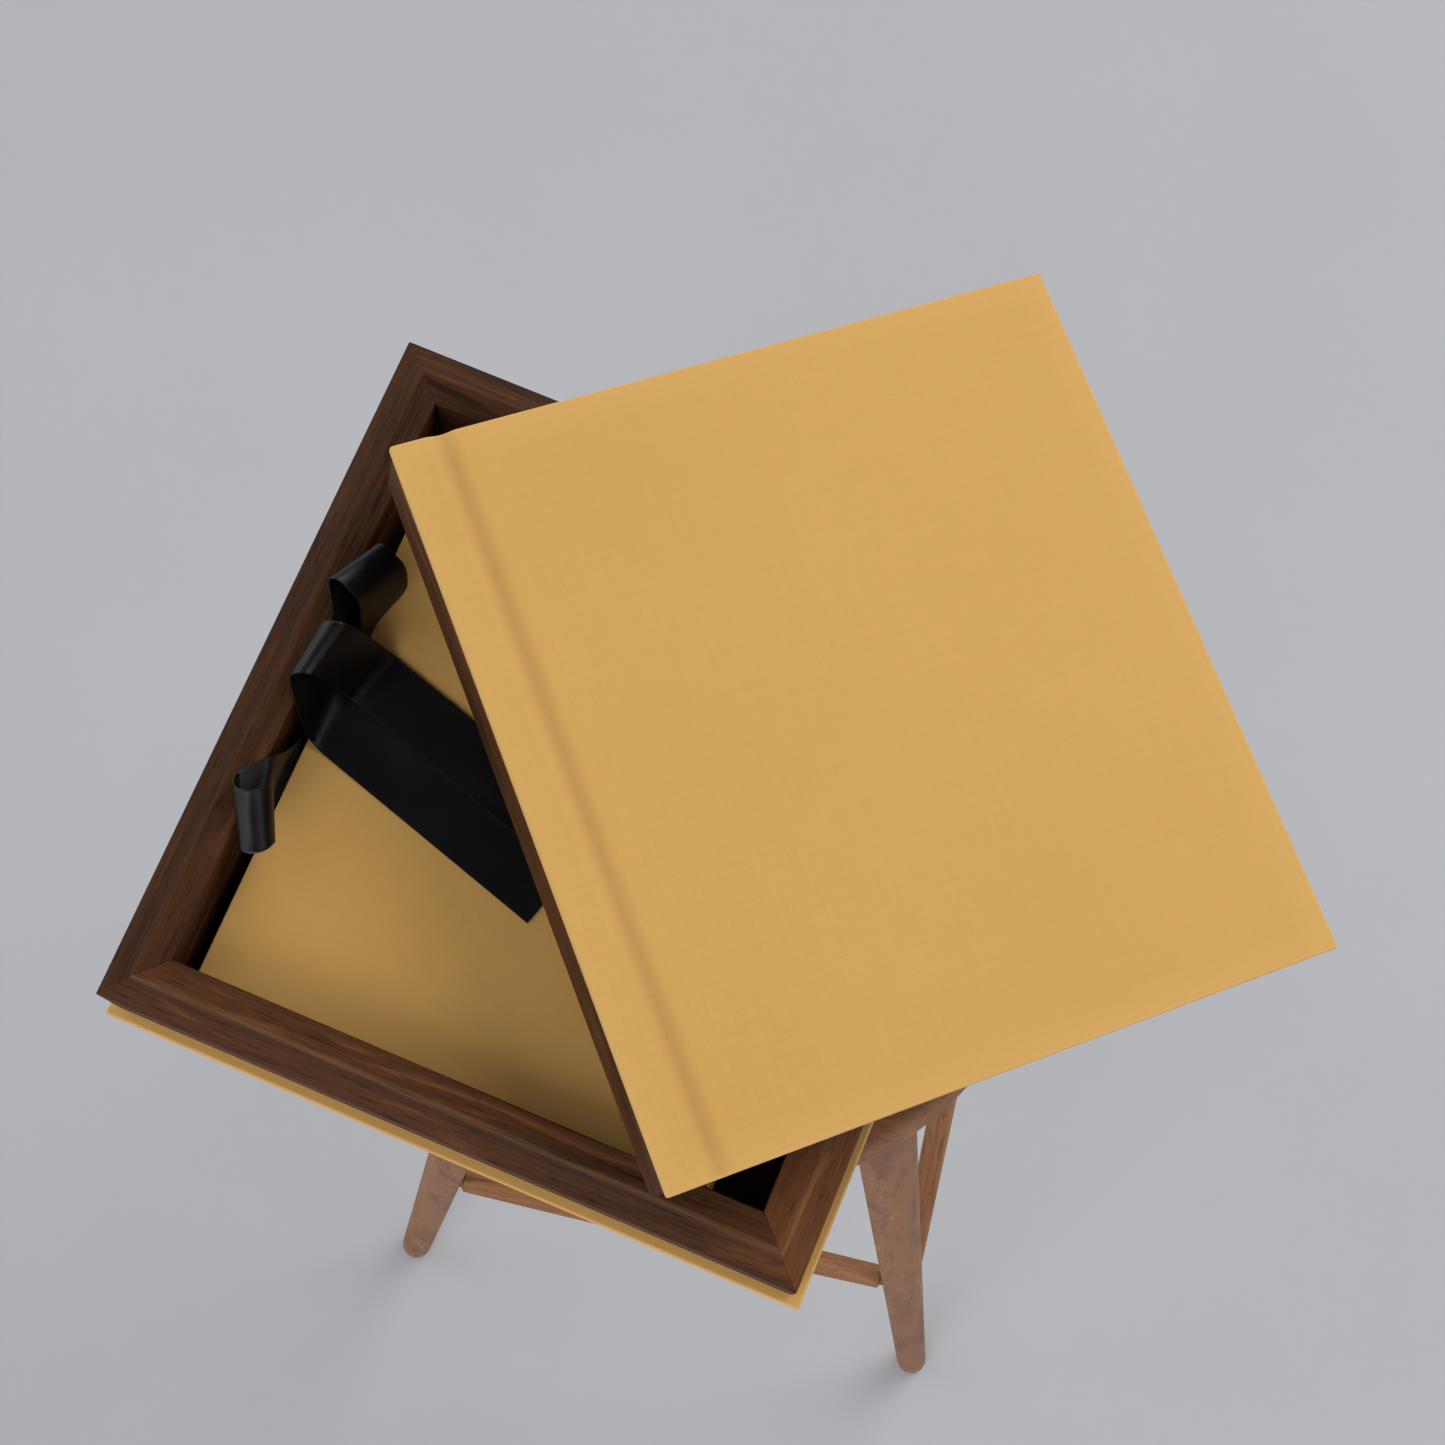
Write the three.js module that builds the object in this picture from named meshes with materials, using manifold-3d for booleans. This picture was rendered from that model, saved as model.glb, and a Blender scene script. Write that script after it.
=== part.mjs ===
// A boxed photo album on its stool: a cloth-and-walnut tray that holds a case-bound album,
// a matching lid set askew across the tray, a satin ribbon round the album, and a tall stool.
// Millimetres, +Z up. The tray's sides are parallel to X and Y. The finished group is moved so
// that the origin is the middle of its footprint, on the floor.

import * as THREE from 'three';
import { mergeVertices } from 'three/addons/utils/BufferGeometryUtils.js';
import Module from 'manifold-3d';

const GAP = 0.3;                // clearance between touching pieces

// Stool
const SEAT_TOP = 780;
const SEAT_RADIUS = 145.5;
const SEAT_THICK = 28;
const SEAT_X = 67.6;            // seat centre from the tray's centre
const SEAT_Y = 3;
const STOOL_TURN = THREE.MathUtils.degToRad(9.9);
const LEG_TOP_SPACING = 91.5;   // half the distance between legs, under the seat
const LEG_FOOT_SPACING = 190;   // the same, at the floor
const LEG_TOP_SIZE = 31;
const LEG_FOOT_SIZE = 21;
const LEG_TENON_SIZE = 20;
const LEG_TENON_LENGTH = 18;
const STRETCHER_HEIGHT = 320;
const STRETCHER_DROP = 46;      // the side stretchers sit lower, clear of the other tenons
const STRETCHER_SIZE = 16;
const STRETCHER_TENON_SIZE = 10;

// Tray
const BOARD_THICK = 5;
const TRAY_BOARD = 340;
const TRAY_OUTER = 330;
const TRAY_HEIGHT = 60;
const RAIL_WIDTH = 26;
const BEVEL_WIDTH = 13;
const BEVEL_DROP = 8;
const LINING_THICK = 1.4;

// Album
const ALBUM_SIZE = 246;
const ALBUM_X = -8;              // its middle, from the tray's: it lies against the front rail
const ALBUM_Y = -15.6;
const ALBUM_THICK = 33;
const ALBUM_BELOW_RIM = 20;
const COVER_THICK = 3;
const SPINE_THICK = 3;
const JOINT_WIDTH = 9.4;
const JOINT_THICK = 0.8;
const PAGE_INSET = 4;
const ENDPAPER_THICK = 0.6;

// Lid
const LID_WIDTH = 322;          // across the hinge groove
const LID_LENGTH = 342;         // along the hinge groove
const LID_FRAME_DEPTH = 28;
const LID_FRAME_INSET = 4;
const LID_SPINE_INSET = 0.5;
const LID_TURN = THREE.MathUtils.degToRad(43.607);
const LID_TILT = THREE.MathUtils.degToRad(11.997);
const LID_X = 96.99;            // top centre of the lid board from the tray's centre
const LID_Y = 80.26;
const LID_ABOVE_RIM = 24.4;
const GROOVE_CENTRE = 23.5;     // from the spine edge
const GROOVE_WIDTH = 9;
const GROOVE_DEPTH = 0.9;

// Mitre splines, hidden in the corners of both frames
const SPLINE_RADIUS = 9;
const SPLINE_THICK = 3.6;
const SPLINE_FIT = 0.3;

// Ribbon
const RIBBON_WIDTH = 28;
const RIBBON_THICK = 0.9;
const TAIL_TURN = THREE.MathUtils.degToRad(-16.7);

const BOARD_BASE = SEAT_TOP + GAP;
const BOARD_TOP = BOARD_BASE + BOARD_THICK;
const RIM = BOARD_BASE + TRAY_HEIGHT;
const ALBUM_TOP = RIM - ALBUM_BELOW_RIM;
const ALBUM_BASE = ALBUM_TOP - ALBUM_THICK;

const CLOTH = '#d0a862';
const WALNUT = '#4b3226';
const STOOL_WOOD = '#8a6450';
const SATIN = '#19191e';
const PAPER = '#efe9dc';
const LINING = '#231c19';

const wasm = await Module();
wasm.setup();

const object = new THREE.Group();

function finish(color, roughness) {
  return new THREE.MeshStandardMaterial({ color, roughness, metalness: 0 });
}

function addPiece(parent, name, geometry, material) {
  const mesh = new THREE.Mesh(geometry, material);
  mesh.name = name;
  parent.add(mesh);
  return mesh;
}

// Moves every vertex of a geometry by a function of its position.
function reshape(geometry, move) {
  const position = geometry.getAttribute('position');
  const point = new THREE.Vector3();
  for (let i = 0; i < position.count; i += 1) {
    point.fromBufferAttribute(position, i);
    move(point);
    position.setXYZ(i, point.x, point.y, point.z);
  }
  geometry.computeVertexNormals();
  return geometry;
}

function roundedRectangle(width, depth, radius) {
  const x = width / 2;
  const y = depth / 2;
  const shape = new THREE.Shape();
  shape.moveTo(-x + radius, -y);
  shape.lineTo(x - radius, -y);
  shape.absarc(x - radius, -y + radius, radius, -Math.PI / 2, 0);
  shape.lineTo(x, y - radius);
  shape.absarc(x - radius, y - radius, radius, 0, Math.PI / 2);
  shape.lineTo(-x + radius, y);
  shape.absarc(-x + radius, y - radius, radius, Math.PI / 2, Math.PI);
  shape.lineTo(-x, -y + radius);
  shape.absarc(-x + radius, -y + radius, radius, Math.PI, 1.5 * Math.PI);
  return shape;
}

// A flat board centred on the Z axis, from z = base upward, its edges softened all round.
function softBoard(width, depth, thick, base, corner) {
  const ease = Math.min(thick * 0.3, 1.5);
  const geometry = new THREE.ExtrudeGeometry(roundedRectangle(width - 2 * ease, depth - 2 * ease, corner), {
    depth: thick - 2 * ease,
    bevelThickness: ease,
    bevelSize: ease,
    bevelSegments: 2,
    curveSegments: 3,
  });
  return geometry.translate(0, 0, base + ease);
}

function plainPlate(width, depth, thick, base) {
  return new THREE.BoxGeometry(width, depth, thick).translate(0, 0, base + thick / 2);
}

// --- Solid joining and cutting -------------------------------------------------------------

function toSolid(geometry) {
  const bare = geometry.clone();
  bare.deleteAttribute('normal');
  bare.deleteAttribute('uv');
  const merged = mergeVertices(bare);
  return new wasm.Manifold(new wasm.Mesh({
    numProp: 3,
    vertProperties: new Float32Array(merged.getAttribute('position').array),
    triVerts: new Uint32Array(merged.getIndex().array),
  }));
}

function fromSolid(solid) {
  const mesh = solid.getMesh();
  const geometry = new THREE.BufferGeometry();
  geometry.setAttribute('position', new THREE.BufferAttribute(mesh.vertProperties, 3));
  geometry.setIndex(new THREE.BufferAttribute(mesh.triVerts, 1));
  geometry.computeVertexNormals();
  return geometry;
}

function cut(geometry, tool) {
  return fromSolid(toSolid(geometry).subtract(toSolid(tool)));
}

function join(geometry, other) {
  return fromSolid(toSolid(geometry).add(toSolid(other)));
}

// --- Stool ---------------------------------------------------------------------------------

function seatGeometry() {
  const round = 9;
  const lower = 5;
  const steps = 4;
  const points = [new THREE.Vector2(0, SEAT_TOP - SEAT_THICK)];
  for (let i = 0; i <= steps; i += 1) {
    const turn = (i / steps) * Math.PI / 2;
    points.push(new THREE.Vector2(
      SEAT_RADIUS - lower + lower * Math.sin(turn),
      SEAT_TOP - SEAT_THICK + lower - lower * Math.cos(turn),
    ));
  }
  for (let i = 0; i <= steps; i += 1) {
    const turn = (i / steps) * Math.PI / 2;
    points.push(new THREE.Vector2(
      SEAT_RADIUS - round + round * Math.cos(turn),
      SEAT_TOP - round + round * Math.sin(turn),
    ));
  }
  points.push(new THREE.Vector2(0, SEAT_TOP));
  return new THREE.LatheGeometry(points, 48).rotateX(Math.PI / 2);
}

const legTop = SEAT_TOP - SEAT_THICK - GAP;

// Distance of a leg's centre from the stool's middle plane at a height.
function legSpread(height) {
  return THREE.MathUtils.lerp(LEG_FOOT_SPACING, LEG_TOP_SPACING, height / legTop);
}

function legSize(height) {
  return THREE.MathUtils.lerp(LEG_FOOT_SIZE, LEG_TOP_SIZE, height / legTop);
}

// An upright round bar from z = base upward, round the point (x, y).
function pin(size, base, length, x, y) {
  return new THREE.CylinderGeometry(size / 2, size / 2, length, 20)
    .rotateX(Math.PI / 2)
    .translate(x, y, base + length / 2);
}

// A tapered round leg, sheared so that both of its ends stay level, with a tenon on top and
// two mortises for the stretchers that meet it.
function legGeometry(sideX, sideY) {
  const shaft = new THREE.CylinderGeometry(0.5, 0.5, legTop, 24)
    .rotateX(Math.PI / 2)
    .translate(0, 0, legTop / 2);
  reshape(shaft, (point) => {
    point.x = point.x * legSize(point.z) + sideX * legSpread(point.z);
    point.y = point.y * legSize(point.z) + sideY * legSpread(point.z);
  });
  const top = LEG_TOP_SPACING;
  const tenon = pin(LEG_TENON_SIZE, legTop - 2, LEG_TENON_LENGTH + 2, sideX * top, sideY * top);
  let leg = join(shaft, tenon);
  for (const height of [STRETCHER_HEIGHT, STRETCHER_HEIGHT - STRETCHER_DROP]) {
    leg = cut(leg, mortiseGeometry(sideX, sideY, height));
  }
  return leg;
}

// The hole for a stretcher's tenon: along X at the upper level, along Y at the lower one.
function mortiseGeometry(sideX, sideY, height) {
  const size = STRETCHER_TENON_SIZE + 2 * GAP;
  const spread = legSpread(height);
  const length = legSize(height);
  const alongX = height === STRETCHER_HEIGHT;
  const hole = pin(size, -length / 2, length, 0, 0);
  const start = spread - length / 2 + 4;
  if (alongX) {
    return hole.rotateY(Math.PI / 2).translate(sideX * start, sideY * spread, height);
  }
  return hole.rotateX(Math.PI / 2).translate(sideX * spread, sideY * start, height);
}

// A round bar along X at y = -spread, with a tenon at each end that enters its leg.
function stretcherGeometry(height) {
  const spread = legSpread(height);
  const shoulder = spread - legSize(height) / 2 - 1.5;
  const reach = spread + 1;
  const points = [[0, -reach], [STRETCHER_TENON_SIZE / 2, -reach], [STRETCHER_TENON_SIZE / 2, -shoulder],
    [STRETCHER_SIZE / 2 - 1, -shoulder], [STRETCHER_SIZE / 2, -shoulder + 1]];
  const mirrored = points.map(([radius, along]) => [radius, -along]).reverse();
  const profile = [...points, ...mirrored].map(([radius, along]) => new THREE.Vector2(radius, along));
  return new THREE.LatheGeometry(profile, 20)
    .rotateZ(-Math.PI / 2)
    .translate(0, -spread, height);
}

// The seat disc with a blind mortise for each leg.
function mortisedSeat() {
  let seat = seatGeometry();
  for (const [x, y] of [[-1, -1], [1, -1], [1, 1], [-1, 1]]) {
    const size = LEG_TENON_SIZE + 2 * GAP;
    const base = SEAT_TOP - SEAT_THICK - 1;
    const length = LEG_TENON_LENGTH + 1 + GAP;
    seat = cut(seat, pin(size, base, length, x * LEG_TOP_SPACING, y * LEG_TOP_SPACING));
  }
  return seat;
}

function buildStool() {
  const stool = new THREE.Group();
  stool.position.set(SEAT_X, SEAT_Y, 0);
  stool.rotation.z = STOOL_TURN;
  const wood = () => finish(STOOL_WOOD, 0.5);
  addPiece(stool, 'stool_seat', mortisedSeat(), wood());
  const corners = { front_left: [-1, -1], front_right: [1, -1], back_right: [1, 1], back_left: [-1, 1] };
  for (const [corner, [sideX, sideY]] of Object.entries(corners)) {
    addPiece(stool, `stool_leg_${corner}`, legGeometry(sideX, sideY), wood());
  }
  const sides = ['front', 'right', 'back', 'left'];
  sides.forEach((side, index) => {
    const height = STRETCHER_HEIGHT - (index % 2) * STRETCHER_DROP;
    const geometry = stretcherGeometry(height).rotateZ(index * Math.PI / 2);
    addPiece(stool, `stool_stretcher_${side}`, geometry, wood());
  });
  return stool;
}

// --- Mitred frames -------------------------------------------------------------------------

// A rail along X whose outer face is at y = 0, built from its end profile (inward, height).
// Each end is mitred at 45 degrees and stands half a gap off the mitre plane.
function railGeometry(profile, length) {
  const geometry = new THREE.ExtrudeGeometry(profile, { depth: 1, bevelEnabled: false, curveSegments: 4 });
  return reshape(geometry, (point) => {
    const inward = point.x;
    const height = point.y;
    const reach = length / 2 - inward - GAP / Math.SQRT2;
    point.x = point.z > 0.5 ? reach : -reach;
    point.y = inward;
    point.z = height;
  });
}

function trayProfile(height) {
  const ease = 1;
  const shape = new THREE.Shape();
  shape.moveTo(ease, 0);
  shape.lineTo(RAIL_WIDTH, 0);
  shape.lineTo(RAIL_WIDTH, height - ease);
  shape.absarc(RAIL_WIDTH - ease, height - ease, ease, 0, Math.PI / 2);
  shape.lineTo(BEVEL_WIDTH + ease, height);
  shape.lineTo(BEVEL_WIDTH - ease, height - 0.5 * ease);
  shape.lineTo(ease, height - BEVEL_DROP + 0.5 * ease);
  shape.lineTo(0, height - BEVEL_DROP - ease);
  shape.lineTo(0, ease);
  return shape;
}

function lidProfile(depth) {
  const ease = 1;
  const shape = new THREE.Shape();
  shape.moveTo(0, depth);
  shape.lineTo(0, ease);
  shape.absarc(ease, ease, ease, Math.PI, 1.5 * Math.PI);
  shape.lineTo(RAIL_WIDTH - ease, 0);
  shape.absarc(RAIL_WIDTH - ease, ease, ease, -Math.PI / 2, 0);
  shape.lineTo(RAIL_WIDTH, depth);
  return shape;
}

// A lens-shaped tongue set level across one mitre, centred on the corner's mitre plane.
function splineGeometry(radius, thick) {
  return new THREE.CylinderGeometry(radius, radius, thick, 20)
    .rotateX(Math.PI / 2)
    .scale(1, 0.72, 1);
}

// Four mitred rails round a rectangle, each slotted for the tongues at its two corners.
function buildFrame(prefix, halfX, halfY, profile, splineLevel) {
  const frame = new THREE.Group();
  const sides = [
    ['front', 2 * halfX, halfY],
    ['right', 2 * halfY, halfX],
    ['back', 2 * halfX, halfY],
    ['left', 2 * halfY, halfX],
  ];
  const inset = RAIL_WIDTH / 2;
  const corners = [[-1, -1], [1, -1], [1, 1], [-1, 1]].map(([sx, sy]) => ({
    x: sx * (halfX - inset),
    y: sy * (halfY - inset),
    turn: -sx * sy * Math.PI / 4,
  }));
  const tongue = (corner, radius, thick) => splineGeometry(radius, thick)
    .rotateZ(corner.turn)
    .translate(corner.x, corner.y, splineLevel);
  sides.forEach(([side, length, offset], index) => {
    let rail = railGeometry(profile, length)
      .translate(0, -offset, 0)
      .rotateZ(index * Math.PI / 2);
    for (const corner of [corners[index], corners[(index + 1) % 4]]) {
      rail = cut(rail, tongue(corner, SPLINE_RADIUS, SPLINE_THICK));
    }
    addPiece(frame, `${prefix}_rail_${side}`, rail, finish(WALNUT, 0.55));
  });
  const names = ['front_left', 'front_right', 'back_right', 'back_left'];
  corners.forEach((corner, index) => {
    const geometry = tongue(corner, SPLINE_RADIUS - SPLINE_FIT, SPLINE_THICK - 2 * SPLINE_FIT);
    addPiece(frame, `${prefix}_mitre_spline_${names[index]}`, geometry, finish('#b08a5c', 0.7));
  });
  return frame;
}

// --- Tray ----------------------------------------------------------------------------------

function buildTray() {
  const tray = new THREE.Group();
  addPiece(tray, 'tray_base_board', softBoard(TRAY_BOARD, TRAY_BOARD, BOARD_THICK, BOARD_BASE, 2),
    finish(CLOTH, 0.85));
  const railHeight = TRAY_HEIGHT - BOARD_THICK - GAP;
  const half = TRAY_OUTER / 2;
  const frame = buildFrame('tray', half, half, trayProfile(railHeight), railHeight * 0.4);
  frame.position.z = BOARD_TOP + GAP;
  tray.add(frame);
  const well = TRAY_OUTER - 2 * RAIL_WIDTH - 2 * GAP;
  addPiece(tray, 'tray_floor_lining', plainPlate(well, well, LINING_THICK, BOARD_TOP + GAP),
    finish(LINING, 0.95));
  return tray;
}

// --- Album ---------------------------------------------------------------------------------

// The album's spine is on its +X side, and its cover opens upward from its -X side.
function buildAlbum() {
  const album = new THREE.Group();
  album.position.set(ALBUM_X, ALBUM_Y, 0);
  const half = ALBUM_SIZE / 2;
  const coverRight = half - SPINE_THICK - GAP - JOINT_WIDTH - GAP;
  const coverWidth = coverRight + half;
  const coverX = (coverRight - half) / 2;
  const jointX = coverRight + GAP + JOINT_WIDTH / 2;
  const cloth = () => finish(CLOTH, 0.85);
  const covers = { back: ALBUM_BASE, front: ALBUM_TOP - COVER_THICK };
  for (const [side, base] of Object.entries(covers)) {
    const cover = softBoard(coverWidth, ALBUM_SIZE, COVER_THICK, base, 1.5).translate(coverX, 0, 0);
    addPiece(album, `album_${side}_cover`, cover, cloth());
    const middle = base + (COVER_THICK - JOINT_THICK) / 2;
    const joint = plainPlate(JOINT_WIDTH, ALBUM_SIZE - 2, JOINT_THICK, middle).translate(jointX, 0, 0);
    addPiece(album, `album_${side}_joint`, joint, cloth());
  }
  const spine = softBoard(ALBUM_THICK, ALBUM_SIZE, SPINE_THICK, 0, 1).rotateY(-Math.PI / 2)
    .translate(half, 0, ALBUM_BASE + ALBUM_THICK / 2);
  addPiece(album, 'album_spine', spine, cloth());
  addPiece(album, 'album_page_block', pageGeometry(half), finish(PAPER, 0.8));
  const lower = ALBUM_BASE + COVER_THICK + GAP;
  const upper = ALBUM_TOP - COVER_THICK - GAP - ENDPAPER_THICK;
  for (const [side, base] of [['back', lower], ['front', upper]]) {
    const paper = plainPlate(coverWidth - 2 * PAGE_INSET, ALBUM_SIZE - 2 * PAGE_INSET, ENDPAPER_THICK, base)
      .translate(coverX, 0, 0);
    addPiece(album, `album_${side}_endpaper`, paper, finish(PAPER, 0.8));
  }
  return album;
}

// The leaves together, between the two endpapers, with a flat back against the spine.
function pageGeometry(half) {
  const base = ALBUM_BASE + COVER_THICK + ENDPAPER_THICK + 2 * GAP;
  const thick = ALBUM_THICK - 2 * (COVER_THICK + ENDPAPER_THICK + 2 * GAP);
  const left = -half + PAGE_INSET;
  const right = half - SPINE_THICK - GAP;
  return plainPlate(right - left, ALBUM_SIZE - 2 * PAGE_INSET, thick, base)
    .translate((left + right) / 2, 0, 0);
}

// --- Ribbon --------------------------------------------------------------------------------

// A strip of even width and thickness along a curve of (along, across, height) points. The strip
// is bent only about the across direction, and drifts sideways where the points do.
function stripGeometry(points, steps) {
  const curve = new THREE.CatmullRomCurve3(points.map((point) => new THREE.Vector3(...point)));
  const geometry = new THREE.BoxGeometry(1, RIBBON_WIDTH, RIBBON_THICK, steps, 1, 1);
  return reshape(geometry, (point) => {
    const t = point.x + 0.5;
    const at = curve.getPoint(t);
    const way = curve.getTangent(t);
    way.y = 0;
    way.normalize();
    point.x = at.x - way.z * point.z;
    point.z = at.z + way.x * point.z;
    point.y += at.y;
  });
}

function buildRibbon() {
  const ribbon = new THREE.Group();
  ribbon.position.z = RIM;
  ribbon.rotation.z = TAIL_TURN;
  const rest = -ALBUM_BELOW_RIM + GAP + RIBBON_THICK / 2;
  const upper = -19.2;          // across positions of the two tails' middles
  const lower = -47.5;
  const pieces = {
    ribbon_upper_tail: [
      [24, upper, rest], [-20, upper, rest], [-60, upper, rest + 0.4], [-95, upper, rest],
    ],
    ribbon_main_loop: [
      [-96, upper, rest], [-103, upper, -16], [-107, upper, -7], [-110, upper - 1, 5],
      [-114, upper - 4, 16], [-121, upper - 9, 24], [-128, upper - 14, 26], [-133, upper - 18, 20],
      [-133, upper - 20, 11], [-129, upper - 22, 2], [-125, upper - 24, -7], [-120, upper - 26, -14],
      [-114, lower, -18], [-107, lower, rest],
    ],
    ribbon_lower_tail: [
      [-106, lower, rest], [-60, lower, rest], [-20, lower, rest], [14, lower, rest],
    ],
    ribbon_upper_loop: upperLoopPath(rest),
  };
  for (const [name, points] of Object.entries(pieces)) {
    addPiece(ribbon, name, stripGeometry(points, points.length * 3), finish(SATIN, 0.35));
  }
  addPiece(ribbon, 'ribbon_small_curl', smallCurlGeometry(), finish(SATIN, 0.35));
  return ribbon;
}

// A loop that stands on the album just behind the main one.
function upperLoopPath(rest) {
  const across = 14;
  const outline = [
    [-122, rest], [-127, -17], [-130, -10], [-131, -2], [-129, 6], [-124, 9], [-118, 7],
    [-115, 0], [-114, -9], [-112, -16], [-107, rest],
  ];
  return outline.map(([along, height]) => [along, across, height]);
}

// An open curl that hangs past the album's edge and leans on the tray's rim.
function smallCurlGeometry() {
  const radius = 7;
  const points = [];
  for (let i = 0; i <= 8; i += 1) {
    const turn = THREE.MathUtils.degToRad(60 - i * 37);
    points.push([radius * Math.cos(turn), 0, radius * Math.sin(turn)]);
  }
  return stripGeometry(points, 24)
    .rotateZ(THREE.MathUtils.degToRad(38))
    .translate(-112, -104, 10);
}

// --- Lid -----------------------------------------------------------------------------------

// The board's cross-section, drawn from the spine edge across, with the hinge groove pressed in.
function lidSection() {
  const half = LID_WIDTH / 2;
  const ease = 1.6;
  const groove = -half + GROOVE_CENTRE;
  const shape = new THREE.Shape();
  shape.moveTo(-half + ease, -BOARD_THICK);
  shape.lineTo(half - ease, -BOARD_THICK);
  shape.absarc(half - ease, -BOARD_THICK + ease, ease, -Math.PI / 2, 0);
  shape.lineTo(half, -ease);
  shape.absarc(half - ease, -ease, ease, 0, Math.PI / 2);
  for (let i = 0; i <= 6; i += 1) {
    const across = 1 - i / 3;
    const depth = GROOVE_DEPTH * 0.5 * (1 + Math.cos(Math.PI * across));
    shape.lineTo(groove + across * GROOVE_WIDTH / 2, -depth);
  }
  shape.lineTo(-half + ease, 0);
  shape.absarc(-half + ease, -ease, ease, Math.PI / 2, Math.PI);
  shape.lineTo(-half, -BOARD_THICK + ease);
  shape.absarc(-half + ease, -BOARD_THICK + ease, ease, Math.PI, 1.5 * Math.PI);
  return shape;
}

function buildLid() {
  const lid = new THREE.Group();
  lid.position.set(LID_X, LID_Y, RIM + LID_ABOVE_RIM);
  lid.rotation.set(0, LID_TILT, LID_TURN, 'ZYX');
  const board = new THREE.ExtrudeGeometry(lidSection(), {
    depth: LID_LENGTH,
    bevelEnabled: false,
    curveSegments: 3,
  });
  board.rotateX(Math.PI / 2).translate(0, LID_LENGTH / 2, 0);
  addPiece(lid, 'lid_board', board, finish(CLOTH, 0.85));
  const left = -LID_WIDTH / 2 + LID_SPINE_INSET;
  const right = LID_WIDTH / 2 - LID_FRAME_INSET;
  const halfY = LID_LENGTH / 2 - LID_FRAME_INSET;
  const depth = LID_FRAME_DEPTH - GAP;
  const frame = buildFrame('lid', (right - left) / 2, halfY, lidProfile(depth), depth * 0.5);
  frame.position.set((left + right) / 2, 0, -BOARD_THICK - LID_FRAME_DEPTH);
  lid.add(frame);
  return lid;
}

object.add(buildStool(), buildTray(), buildAlbum(), buildRibbon(), buildLid());

// The origin goes to the middle of the footprint, on the floor.
object.updateMatrixWorld(true);
const bounds = new THREE.Box3().setFromObject(object, true);
const centre = bounds.getCenter(new THREE.Vector3());
object.position.set(-centre.x, -centre.y, -bounds.min.z);

export default object;
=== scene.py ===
# Looks of the boxed photo album on its stool: cloth boards, walnut frames, a satin ribbon and a
# turned stool. Metres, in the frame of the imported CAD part.

import math
import random

import bpy
import numpy as np
from mathutils import Matrix, Vector


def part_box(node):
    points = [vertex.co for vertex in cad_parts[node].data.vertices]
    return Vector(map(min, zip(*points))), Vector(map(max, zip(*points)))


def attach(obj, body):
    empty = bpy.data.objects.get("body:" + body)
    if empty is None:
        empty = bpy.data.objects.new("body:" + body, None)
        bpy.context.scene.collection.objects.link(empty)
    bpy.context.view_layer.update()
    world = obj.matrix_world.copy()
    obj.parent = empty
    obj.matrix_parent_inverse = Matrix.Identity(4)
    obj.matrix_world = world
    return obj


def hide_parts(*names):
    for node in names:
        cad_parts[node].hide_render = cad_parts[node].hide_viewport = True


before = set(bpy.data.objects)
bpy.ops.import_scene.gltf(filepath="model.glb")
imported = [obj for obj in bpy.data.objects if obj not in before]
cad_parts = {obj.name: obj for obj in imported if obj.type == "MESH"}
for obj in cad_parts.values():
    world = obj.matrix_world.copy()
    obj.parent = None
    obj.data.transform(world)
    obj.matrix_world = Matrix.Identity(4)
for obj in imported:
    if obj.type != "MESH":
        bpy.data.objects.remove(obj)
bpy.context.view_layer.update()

MM = 0.001

# --- Places and turns -------------------------------------------------------------------------


def box_of(node):
    low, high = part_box(node)
    return Vector(low), Vector(high)


def middle_of(node):
    low, high = box_of(node)
    return (low + high) / 2


TRAY = middle_of("tray_base_board")
RIM = box_of("tray_rail_front")[1].z
ALBUM_TOP = box_of("album_front_cover")[1].z
# Turns that came out of a fit to the photo.
TAIL_TURN = math.radians(-16.7)
LID_TURN = math.radians(43.607)
LID_TILT = math.radians(11.997)
STOOL_TURN = math.radians(9.9)

QUARTER_TURN = math.pi / 2
SIDES = ("front", "right", "back", "left")

# --- Camera and light -------------------------------------------------------------------------

# The camera was fitted to the straight edges of the tray and the lid in the photo.
CAMERA_LENS = 62.28
CAMERA_SENSOR = 36.0
CAMERA_NEAR = 0.05
CAMERA_FROM_RIM = Vector((0.1320, -0.1973, 1.0800))
CAMERA_YAW = math.radians(20.226)
CAMERA_LEAN = math.radians(13.785)
CAMERA_ROLL = math.radians(2.548)
LIGHTS_AIM = (0.0, 0.0, 0.85)
HORIZON_COLOR = (0.84, 0.87, 0.92, 1.0)
ZENITH_COLOR = (0.04, 0.041, 0.044, 1.0)


def make_camera():
    data = bpy.data.cameras.new("camera")
    data.lens = CAMERA_LENS
    data.sensor_width = CAMERA_SENSOR
    data.clip_start = CAMERA_NEAR
    camera = bpy.data.objects.new("camera", data)
    bpy.context.scene.collection.objects.link(camera)
    turn = (Matrix.Rotation(CAMERA_YAW, 4, "Z")
            @ Matrix.Rotation(CAMERA_LEAN, 4, "X")
            @ Matrix.Rotation(CAMERA_ROLL, 4, "Z"))
    camera.matrix_world = Matrix.Translation(Vector((TRAY.x, TRAY.y, RIM)) + CAMERA_FROM_RIM) @ turn
    bpy.context.scene.camera = camera


def add_softbox(name, place, size, power, color):
    data = bpy.data.lights.new(name, "AREA")
    data.shape = "DISK"
    data.size = size
    data.energy = power
    data.color = color
    lamp = bpy.data.objects.new(name, data)
    bpy.context.scene.collection.objects.link(lamp)
    lamp.location = place
    lamp.rotation_euler = (Vector(LIGHTS_AIM) - Vector(place)).to_track_quat("-Z", "Y").to_euler()


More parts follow.
